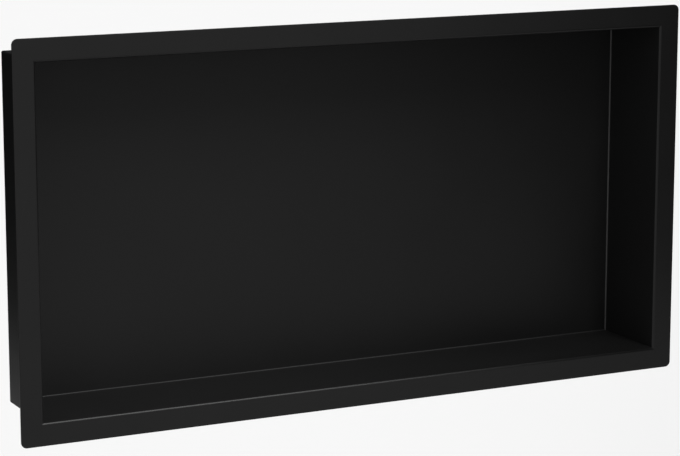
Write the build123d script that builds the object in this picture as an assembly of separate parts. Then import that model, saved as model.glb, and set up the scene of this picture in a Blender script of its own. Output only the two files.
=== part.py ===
from build123d import *
import os

# Shower niche insert: an open box of black-coated sheet steel that is let into a tiled wall, with a flat
# flange all round its mouth that covers the cut edge of the tiles. It is one blank: the four walls are
# folded up from the back panel, a flange is folded outwards from each wall, and the four corners are
# welded and ground flush, so the finished insert is a single piece of one thickness.
# X runs to the right, Y into the wall and Z up. The origin is the centre of the opening, in the plane of
# the flange's rear face, which is the finished face of the wall.

# Driving dimensions, in millimetres
opening_width = 600.0        # clear width between the side walls
opening_height = 300.0       # clear height between the top wall and the shelf
recess_depth = 80.0          # finished wall face to the inside of the back panel
flange_width = 20.0          # edge of the opening to the outer edge of the flange
sheet = 1.5                  # thickness of the steel
bend_radius = 1.0            # inside radius of every fold
flange_corner_radius = 5.0   # outer corners of the flange, seen from the front
edge_break = 0.2             # rounding of the flange's cut edge, front and rear

# Sizes that follow from them
fold_outside_radius = bend_radius + sheet
flange_front = -sheet

wall_face = Plane(origin=(0, 0, 0), x_dir=(1, 0, 0), z_dir=(0, 1, 0))
opening = Rectangle(opening_width, opening_height)


def slab(outline, front, back):
    """Fills an outline, drawn on the wall face, from one depth to another."""
    return extrude(wall_face.offset(front) * outline, back - front)


def faces_from_room(shape):
    """The flat faces that lie parallel to the wall, in order from the room inwards."""
    return shape.faces().filter_by(Axis.Y).sort_by(Axis.Y)


def make_flange():
    """The flange round the opening, with round corners and its cut edge broken on both faces."""
    outline = RectangleRounded(
        opening_width + 2 * flange_width,
        opening_height + 2 * flange_width,
        flange_corner_radius,
    )
    front, rear = faces_from_room(slab(outline, flange_front, 0))
    plate = fillet(front.edges() + rear.edges(), edge_break)
    return plate - slab(opening, flange_front, 0)


def make_box():
    """The walls and back panel: the space inside, folded along its back edges and clad in one thickness
    of sheet. The wall corners stay sharp inside, and outside their welds are round about that corner."""
    space = slab(opening, flange_front, recess_depth)
    back_edges = faces_from_room(space)[-1].edges()
    space = fillet(back_edges, bend_radius)
    mouth = faces_from_room(space)[0]
    return offset(space, amount=sheet, openings=mouth)


def fold_flange(flange, box):
    """Joins the flange to the walls by folds. Each fold's two arcs share a centre, so the sheet stays even."""
    joined = flange + box
    flange_rear_face = faces_from_room(joined)[1]
    joined = fillet(flange_rear_face.inner_wires()[0].edges(), bend_radius)
    flange_front_face = faces_from_room(joined)[0]
    return fillet(flange_front_face.inner_wires()[0].edges(), fold_outside_radius)


niche_insert = fold_flange(make_flange(), make_box())
niche_insert.label = "niche_insert"

os.makedirs("parts", exist_ok=True)
export_step(niche_insert, "parts/niche_insert.step")
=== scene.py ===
# %% [markdown]
# # A shower niche insert in matt black steel
#
# The real thing is an open box that is let into a tiled wall, so that bottles and soap have a shelf. It is
# cut from one sheet of steel: four walls are folded up from the back panel, a narrow flange is folded
# outwards from each wall, and the corners are welded, ground flush and coated black.
#
# The measured solid comes in first, and nothing here moves or resizes it. Its box gives the sizes of the
# sheet below.

# %% Load the measured part
from math import cos, pi, radians, sin

import bmesh
import bpy
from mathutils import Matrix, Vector


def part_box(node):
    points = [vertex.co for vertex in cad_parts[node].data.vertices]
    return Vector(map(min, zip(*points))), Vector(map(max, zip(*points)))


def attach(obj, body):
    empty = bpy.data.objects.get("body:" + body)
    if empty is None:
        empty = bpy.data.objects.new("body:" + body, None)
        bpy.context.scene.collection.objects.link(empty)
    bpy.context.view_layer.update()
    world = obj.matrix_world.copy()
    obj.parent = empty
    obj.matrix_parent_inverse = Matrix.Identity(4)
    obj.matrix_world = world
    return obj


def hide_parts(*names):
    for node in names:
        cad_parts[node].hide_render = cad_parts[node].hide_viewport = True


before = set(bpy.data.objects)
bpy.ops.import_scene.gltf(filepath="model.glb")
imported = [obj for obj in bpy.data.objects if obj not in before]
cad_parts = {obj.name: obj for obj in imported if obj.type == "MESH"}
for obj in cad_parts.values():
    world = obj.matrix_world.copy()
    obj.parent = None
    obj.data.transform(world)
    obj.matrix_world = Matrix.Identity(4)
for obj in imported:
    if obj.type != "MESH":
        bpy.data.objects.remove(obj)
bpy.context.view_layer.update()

NODE = "niche_insert"
low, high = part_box(NODE)
print("measured part, in mm:", [round(1000 * side) for side in high - low])

# %% [markdown]
# ## The sizes of the sheet
#
# The origin is the middle of the opening, in the plane of the wall's finished face. X runs to the right, Y
# into the wall and Z up. The flange lies on the wall, so what stands in front of the origin is exactly one
# thickness of the steel. Four workshop sizes give the rest of the section.

# %% Sizes in metres
flange_width = 0.020
bend_inside = 0.001
rim_corner = 0.005
rim_break = 0.0002

sheet = -low.y
bend_outside = bend_inside + sheet
recess_depth = high.y - sheet
half_width = high.x - flange_width
half_height = high.z - flange_width
print(f"opening {2000 * half_width:.0f} x {2000 * half_height:.0f} mm, {1000 * recess_depth:.0f} mm deep")
print(f"sheet {1000 * sheet:.1f} mm, folds {1000 * bend_inside:.1f} and {1000 * bend_outside:.1f} mm")

# %% [markdown]
# ## Rings round the opening
#
# A Bevel and a Solidify modifier could fold and thicken a plain tray, but they would treat the mitres inside
# and the welds outside alike. Here the sheet is drawn as rings instead: each ring is a closed line round the
# opening that keeps one distance out from its edge and one depth. Rings set side by side make a skin, as
# hoops make a barrel.
#
# A ring has four corners, which follow each other round the opening. On the room side the folds meet in a
# sharp mitre, so a corner there is one point. At the rim and on the outside a corner is an arc of points.

# %% Rings with mitred or round corners
CORNERS = ((1, 1), (-1, 1), (-1, -1), (1, -1))
QUARTER = pi / 2
corner_steps = 10

steel = bmesh.new()


def turns(steps):
    """The angles of a quarter turn, in even steps."""
    return [QUARTER * step / steps for step in range(steps + 1)]


def corner_turns(corner):
    """The same angles at one corner, in the order that carries on round the ring."""
    across, up = corner
    return turns(corner_steps) if across == up else turns(corner_steps)[::-1]


def corner_point(corner, out_x, depth, out_z):
    """A point that lies so far out from the two edges of the opening at one corner."""
    across, up = corner
    return steel.verts.new((across * (half_width + out_x), depth, up * (half_height + out_z)))


def mitred_ring(out, depth):
    """A ring with sharp corners."""
    return [[corner_point(corner, out, depth, out)] for corner in CORNERS]


def round_ring(out, depth, centre):
    """A ring with round corners. Each arc's centre lies that far out from both edges."""
    radius = out - centre
    return [
        [
            corner_point(corner, centre + radius * cos(turn), depth, centre + radius * sin(turn))
            for turn in corner_turns(corner)
        ]
        for corner in CORNERS
    ]


print("a mitred ring has", len(CORNERS), "points, a round one", len(CORNERS) * (corner_steps + 1))

# %% [markdown]
# ## Skins between the rings
#
# Neighbouring rings are joined by faces. Along a side that is one long quad. Round a corner it is a strip of
# small quads, which closes to a fan of triangles where one ring is sharp. Where both rings are sharp, the
# edge between their corners is a crease in the real sheet, so it is marked sharp and smooth shading stops
# there.
#
# Faces that lie in a fold also get a mark: outside folds get a glossier coat, and inside folds get a painted
# highlight, a lighter grey in the coat's colour. The mark is a number on each face, so one material can read
# it later and no second one is needed.

# %% Join rings into skins
# the inside-fold mark later colours those faces a lighter grey, as a painted highlight
inside_fold_painted_highlight = steel.faces.layers.float.new("inside_fold_painted_highlight")
outside_fold = steel.faces.layers.float.new("outside_fold")


def neighbours(arc, step):
    """Two points of a corner that follow each other, or its only point twice where it is sharp."""
    last = len(arc) - 1
    return arc[min(step, last)], arc[min(step + 1, last)]


def join_rings(first, second, mark, level_share):
    """Fills the strip between two rings, and marks its faces if they lie in a fold. Sides that run level,
    at the top and bottom, may get a smaller share of the mark than the upright ones."""
    for index, (here, there) in enumerate(zip(first, second)):
        runs_level = index % 2 == 0
        after = (index + 1) % len(CORNERS)
        strip = [steel.faces.new((here[-1], first[after][0], second[after][0], there[-1]))]
        for step in range(max(len(here), len(there)) - 1):
            outline = (*neighbours(here, step), *reversed(neighbours(there, step)))
            strip.append(steel.faces.new(tuple(dict.fromkeys(outline))))
        if mark:
            for face in strip:
                face[mark] = level_share if runs_level else 1.0
        if len(here) == len(there) == 1:
            steel.edges.get((here[0], there[0])).smooth = False


def skin(rings, mark=None, level_share=1.0):
    """Joins a row of rings, one after the other."""
    for first, second in zip(rings, rings[1:]):
        join_rings(first, second, mark, level_share)


def panel(ring):
    """Closes a sharp ring with one flat face."""
    return steel.faces.new([corner[0] for corner in ring])


print("marks for the coat:", inside_fold_painted_highlight.name, "and", outside_fold.name)

# %% [markdown]
# ## The room side of the sheet
#
# This is the side that shows. It starts at the back panel, turns a tight fold into the walls, runs out to the
# mouth and rolls over a wider fold into the flange. Steel bends on an arc, never on a line, and those narrow
# arcs catch the light along every edge of the insert, so each one is a true arc of small faces.
#
# The inside folds carry a painted highlight: a lighter grey in the coat's colour that stands in for the
# bright lines along them. The upright ones get it in full, and a level inside fold gets a smaller share of
# the mark.

# %% From the back panel to the flange
fold_steps = 12
level_highlight_share = 0.13

back_fold = [
    mitred_ring(bend_inside * (sin(turn) - 1), recess_depth + bend_inside * (cos(turn) - 1))
    for turn in turns(fold_steps)
]
mouth_fold = [
    mitred_ring(bend_outside * (1 - cos(turn)), bend_inside - bend_outside * sin(turn))
    for turn in turns(fold_steps)
]
panel(back_fold[0])
# the inside folds between back panel and walls get the painted highlight mark
skin(back_fold, inside_fold_painted_highlight, level_highlight_share)
skin([back_fold[-1], mouth_fold[0]])
skin(mouth_fold, outside_fold)
print("room side so far:", len(steel.faces), "faces")

# %% [markdown]
# ## The rim of the flange
#
# The flange has small round corners, and its cut edge is broken by a hair before coating, because a coat
# doesn't hold on a knife edge. Two arcs and a narrow flat between them make that edge. The flange's front
# face closes the gap between the sharp fold inside and the round rim outside.

# %% Cut edge with its two breaks
rim_steps = 4
rim_centre = flange_width - rim_corner

rim_front = [
    round_ring(flange_width + rim_break * (sin(turn) - 1), rim_break * (1 - cos(turn)) - sheet, rim_centre)
    for turn in turns(rim_steps)
]
rim_rear = [
    round_ring(flange_width + rim_break * (cos(turn) - 1), rim_break * (sin(turn) - 1), rim_centre)
    for turn in turns(rim_steps)
]
skin([mouth_fold[-1], rim_front[0]])
skin(rim_front + rim_rear, outside_fold)
print("with the rim:", len(steel.faces), "faces")

# %% [markdown]
# ## The wall side of the sheet
#
# Behind the flange the sheet keeps one even thickness: every outside arc shares its centre with the arc on
# the room side. The corners are welded and ground, so out here they are round about the sharp corner inside.
# Along the back fold that corner dives into the mitre, and the weld follows it: its points stand one
# thickness off the mitre, turned step by step from one wall's normal to the other's with `Vector.slerp`.

# %% From the flange's rear face to the outside of the back
def weld_ring(turn):
    """A ring on the outside of the back fold, turned that far from the walls to the back panel."""
    out = bend_inside * (cos(turn) - 1)
    depth = recess_depth + bend_inside * (sin(turn) - 1)
    sideways = Vector((cos(turn), sin(turn), 0))
    upwards = Vector((0, sin(turn), cos(turn)))
    ring = []
    for corner in CORNERS:
        lifts = [sheet * sideways.slerp(upwards, around / QUARTER) for around in corner_turns(corner)]
        ring.append([corner_point(corner, out + lift.x, depth + lift.y, out + lift.z) for lift in lifts])
    return ring


rear_fold = [
    round_ring(bend_outside - bend_inside * sin(turn), bend_inside * (1 - cos(turn)), centre=0)
    for turn in turns(fold_steps)
]
outer_fold = [weld_ring(turn) for turn in turns(fold_steps)[:-1]]
outer_back = mitred_ring(-bend_inside, high.y)
skin([rim_rear[-1], rear_fold[0]])
# the inside of this fold also gets the painted highlight mark
skin(rear_fold, inside_fold_painted_highlight, level_highlight_share)
skin([rear_fold[-1], outer_fold[0]])
skin(outer_fold + [outer_back], outside_fold)
panel(outer_back)
print("both sides:", len(steel.faces), "faces")

# %% [markdown]
# ## From skin to object
#
# The two sides now close on each other like a blown-up glove. Normals are turned outwards, and every face is
# shaded smooth. Plain smooth shading would tilt the wide flat panels towards their folds, so a Weighted
# Normal modifier lets each large face keep its own direction and leaves the turning to the arcs. Its weight
# is at the top of its range, so the largest face at each point decides.

# %% One closed piece that stands for the measured solid
strongest_weight = 100

bmesh.ops.recalc_face_normals(steel, faces=steel.faces)
for face in steel.faces:
    face.smooth = True
open_edges = sum(not edge.is_manifold for edge in steel.edges)
folded_volume = steel.calc_volume()

insert_mesh = bpy.data.meshes.new("folded_insert")
steel.to_mesh(insert_mesh)
steel.free()
insert = bpy.data.objects.new("folded_insert", insert_mesh)
bpy.context.scene.collection.objects.link(insert)

flat_panels = insert.modifiers.new("flat_panels", "WEIGHTED_NORMAL")
flat_panels.mode = "FACE_AREA"
flat_panels.weight = strongest_weight
flat_panels.keep_sharp = True

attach(insert, "root")
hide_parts(NODE)
print(f"{open_edges} open edges, {1e6 * folded_volume:.1f} cm3 of steel")

# %% [markdown]
# ## The coat
#
# Steel like this is usually powder coated: black dust is sprayed on dry and melted in an oven, where it
# flows into a tough skin. Up close that skin is neither even nor smooth. It has a fine ripple, called orange
# peel, a grain that makes it matt, and a gloss that drifts a little from place to place.
#
# A flat black would look like a hole in the picture. Noise in object coordinates makes each of these at its
# own scale. It needs no UV map, so it runs over folds and welds without a seam.

# %% Noise at the scales of the coat
drift_size, peel_size, grain_size = 0.09, 0.0016, 0.0003

coat = bpy.data.materials.new("black_coat")
coat.use_nodes = True
nodes, links = coat.node_tree.nodes, coat.node_tree.links
place = nodes.new("ShaderNodeTexCoord")


def coat_noise(size):
    """Noise with blotches of that size in metres."""
    noise = nodes.new("ShaderNodeTexNoise")
    noise.inputs["Scale"].default_value = 1 / size
    links.new(place.outputs["Object"], noise.inputs["Vector"])
    return noise.outputs["Fac"]


drift, peel, grain = (coat_noise(size) for size in (drift_size, peel_size, grain_size))
print("coat noise, in mm:", [1000 * size for size in (drift_size, peel_size, grain_size)])

# %% [markdown]
# ## Ripple and grain
#
# The ripple is about a hundredth of a millimetre deep, and the grain about two thousandths. That is far too
# shallow to model, so two Bump nodes in a row tilt the normals instead. Their Distance is that height, in
# metres.

# %% Bumps on the coat
peel_height = 12e-6
grain_height = 2e-6


def raise_bumps(factor, height, below=None):
    """Bumps of that height in metres, on top of others if there are any."""
    bump = nodes.new("ShaderNodeBump")
    bump.inputs["Distance"].default_value = height
    links.new(factor, bump.inputs["Height"])
    if below:
        links.new(below, bump.inputs["Normal"])
    return bump.outputs["Normal"]


coat_normal = raise_bumps(grain, grain_height, raise_bumps(peel, peel_height))
print(f"ripple {1e6 * peel_height:.0f} and grain {1e6 * grain_height:.0f} thousandths of a mm high")

# %% [markdown]
# ## Glossier outside folds, and painted highlights in the inside folds
#
# A bright line runs along each outside fold, so the coat is glossier there than on the flats. It may have
# been drawn smooth as it melted, and hands and cloths polish such places. The lighter lines along the inside
# folds, where the back meets the walls, are painted highlights: those folds are coloured a lighter grey.
#
# The drift of the noise varies the flats a little. On the folds, the marks that the mesh carries pick another
# value through Mix nodes.

# %% Gloss of flats and folds, black of flats, painted highlight on inside folds
noise_middle = (0.3, 0.7)
flat_roughness = (0.45, 0.51)
polished_roughness = 0.29
flat_black = (0.007, 0.008)
# painted highlight: the lighter grey that the marked inside folds are coloured
painted_highlight_grey = 0.065


def spread(tree, value, source, target):
    """A node that stretches one range of values over another."""
    node = tree.nodes.new("ShaderNodeMapRange")
    for name, limit in zip(("From Min", "From Max", "To Min", "To Max"), (*source, *target)):
        node.inputs[name].default_value = limit
    tree.links.new(value, node.inputs["Value"])
    return node


def drifting(limits, mark, fold_value):
    """A value that drifts between two limits on the flats, and is another one on the marked folds."""
    flat = spread(coat.node_tree, drift, noise_middle, limits)
    attribute = nodes.new("ShaderNodeAttribute")
    attribute.attribute_name = mark
    choice = nodes.new("ShaderNodeMix")
    choice.inputs["B"].default_value = fold_value
    links.new(attribute.outputs["Fac"], choice.inputs["Factor"])
    links.new(flat.outputs["Result"], choice.inputs["A"])
    return choice.outputs["Result"]


coat_roughness = drifting(flat_roughness, "outside_fold", polished_roughness)
# marked inside folds take the painted highlight grey in place of the black
coat_black_and_painted_highlight = drifting(flat_black, "inside_fold_painted_highlight", painted_highlight_grey)
print(f"roughness {flat_roughness} on flats, {polished_roughness} on outside folds")

# %% [markdown]
# ## The coat on the steel
#
# One Principled shader takes it all in. A matt coat mirrors less light than a glossy lacquer, so its
# reflection is turned down, and a breath of sheen stands for the dust-fine grain at flat angles. Values that
# are the same all over are set straight on the shader, where they survive an export.

# %% Black powder coat
coat_reflection = 0.27
coat_sheen = 0.011
sheen_roughness = 0.4

shader = nodes["Principled BSDF"]
links.new(coat_roughness, shader.inputs["Roughness"])
links.new(coat_black_and_painted_highlight, shader.inputs["Base Color"])
links.new(coat_normal, shader.inputs["Normal"])
shader.inputs["Specular IOR Level"].default_value = coat_reflection
shader.inputs["Sheen Weight"].default_value = coat_sheen
shader.inputs["Sheen Roughness"].default_value = sheen_roughness
insert_mesh.materials.append(coat)
print("coat:", len(nodes), "nodes on", len(insert_mesh.polygons), "faces")

# %% [markdown]
# ## A room that is bright behind and dim in front
#
# Black paint shows its surroundings more than its own colour. A studio therefore keeps the white behind a
# black product, for the background, and the side that it faces dimmer, or the black turns grey. Here the sky
# is bright behind and to the left, and fades towards the front. Directions come from the texture coordinates
# of the world, and their dot product with one axis says how far behind they point.

# %% Sky with a fade
room_front, room_back = 0.52, 0.94
room_fade = 0.6
room_turn = radians(27)
room_axis = (-sin(room_turn), cos(room_turn), 0)


def fade_to_front(tree, direction, front, back):
    """A smooth change of brightness over directions as seen from the part."""
    behind = tree.nodes.new("ShaderNodeVectorMath")
    behind.operation = "DOT_PRODUCT"
    behind.inputs[1].default_value = room_axis
    tree.links.new(direction, behind.inputs[0])
    fade = spread(tree, behind.outputs["Value"], (-room_fade, room_fade), (front, back))
    fade.interpolation_type = "SMOOTHSTEP"
    return fade.outputs["Result"]


world = bpy.data.worlds.new("studio")
world.use_nodes = True
bpy.context.scene.world = world
sky = world.node_tree
outwards = sky.nodes.new("ShaderNodeTexCoord").outputs["Generated"]
sky.links.new(fade_to_front(sky, outwards, room_front, room_back), sky.nodes["Background"].inputs["Color"])
print(f"sky {room_front} in front, {room_back} behind")

# %% [markdown]
# ## The floor
#
# The part hangs in a wall in use, so here the floor lies well below it. The same fade runs on over the floor,
# in directions from the part to each of its points, and no horizon shows where floor and sky meet. The paint
# is the sky's brightness divided by the light that falls on the floor, from the sky and the lamp together.

# %% Floor that carries the fade on
lamp_strength = 2.0
lamp_height = radians(52)
floor_drop = 1.0
floor_half = 60.0
paint_roughness = 0.9
floor_light = (room_front + room_back) / 2 + lamp_strength * sin(lamp_height) / pi

floor_corners = [(x * floor_half, y * floor_half, -floor_drop) for x, y in CORNERS]
floor_mesh = bpy.data.meshes.new("floor")
floor_mesh.from_pydata(floor_corners, [], [(0, 1, 2, 3)])
floor = bpy.data.objects.new("floor", floor_mesh)
bpy.context.scene.collection.objects.link(floor)

paint = bpy.data.materials.new("floor_paint")
paint.use_nodes = True
paint_tree = paint.node_tree
from_part = paint_tree.nodes.new("ShaderNodeVectorMath")
from_part.operation = "NORMALIZE"
paint_tree.links.new(paint_tree.nodes.new("ShaderNodeTexCoord").outputs["Object"], from_part.inputs[0])
# painted shade: the floor is painted darker in front and lighter behind, carrying on the sky's fade
paint_shade = fade_to_front(
    paint_tree, from_part.outputs["Vector"], room_front / floor_light, room_back / floor_light
)
paint_shader = paint_tree.nodes["Principled BSDF"]
paint_tree.links.new(paint_shade, paint_shader.inputs["Base Color"])
paint_shader.inputs["Roughness"].default_value = paint_roughness
paint_shader.inputs["Specular IOR Level"].default_value = 0
floor_mesh.materials.append(paint)
print(f"floor {floor_drop:.1f} m below the part, light on it {floor_light:.2f}")

# %% [markdown]
# ## A soft lamp
#
# One large softbox hangs above, in front and a little to the right. It lights the shelf and draws the bright
# line along the lower fold. A Sun lamp with a wide angle stands for it: its light is the same all over the
# floor, and its shadows stay soft.

# %% Softbox
lamp_turn = radians(24)
lamp_width = radians(41)

softbox = bpy.data.lights.new("softbox", "SUN")
softbox.energy = lamp_strength
softbox.angle = lamp_width
lamp = bpy.data.objects.new("softbox", softbox)
lamp.rotation_euler = (QUARTER - lamp_height, 0, lamp_turn)
bpy.context.scene.collection.objects.link(lamp)
print("lamp direction:", [round(value, 2) for value in lamp.rotation_euler.to_matrix().col[2]])

# %% [markdown]
# ## A flag and dark cards
#
# Photographers hold up black cards, out of the picture. A card between the lamp and the part is called a
# flag: it takes light off one end. Here it stands in front on the right, so that shelf, flange and the bright
# line along the lower fold all grow darker towards that end.
#
# The outside of the box would mirror the white backdrop at a flat angle, so it gets two cards to mirror
# instead. The one on the left also shades the left wall. It stops well above the floor, so that the wall's
# lower end still picks up some light from there. The one behind throws no shadow. No camera sees any of the
# three.

# %% Flag and cards
card_colour = (0.01, 0.01, 0.01, 1)

card_black = bpy.data.materials.new("card_black")
card_black.use_nodes = True
card_shader = card_black.node_tree.nodes["Principled BSDF"]
card_shader.inputs["Base Color"].default_value = card_colour
card_shader.inputs["Specular IOR Level"].default_value = 0


def dark_card(name, start, end, bottom, top, shades=False):
    """An upright black sheet between two points of the floor plan, which may also shade the part."""
    mesh = bpy.data.meshes.new(name)
    mesh.from_pydata([(*start, bottom), (*end, bottom), (*end, top), (*start, top)], [], [(0, 1, 2, 3)])
    mesh.materials.append(card_black)
    card = bpy.data.objects.new(name, mesh)
    card.visible_camera = card.visible_transmission = False
    card.visible_diffuse = card.visible_shadow = shades
    bpy.context.scene.collection.objects.link(card)
    print(name, "from", start, "to", end)


dark_card("flag_right", start=(0.42, -0.52), end=(0.70, 0.0), bottom=-0.18, top=0.70, shades=True)
dark_card("card_left", start=(-0.42, 0.02), end=(-0.42, 0.90), bottom=-0.235, top=0.50, shades=True)
dark_card("card_behind", start=(-2.5, 1.2), end=(2.5, 1.2), bottom=-0.35, top=1.6)

# %% [markdown]
# ## The camera
#
# The insert is seen from the left and a little from above. A long lens from two metres away keeps its sides
# nearly parallel, as in a catalogue. The camera tilts down instead of shifting its lens: a shift would hold
# the uprights exactly parallel, but it would push the part out of the frame when it is seen from elsewhere.

# %% Camera
view_lens = 131.2
view_yaw = radians(26.46)
view_pitch = radians(10.74)
view_distance = 2.147
aim = Vector((-0.026, low.y, -0.0087))

sight = Vector((sin(view_yaw) * cos(view_pitch), cos(view_yaw) * cos(view_pitch), -sin(view_pitch)))
camera_data = bpy.data.cameras.new("camera")
camera_data.lens = view_lens
camera = bpy.data.objects.new("camera", camera_data)
camera.location = aim - view_distance * sight
camera.rotation_euler = (QUARTER - view_pitch, 0, -view_yaw)
bpy.context.scene.collection.objects.link(camera)
bpy.context.scene.camera = camera
bpy.context.scene.view_settings.view_transform = "Standard"
print("camera at", [round(value, 3) for value in camera.location])
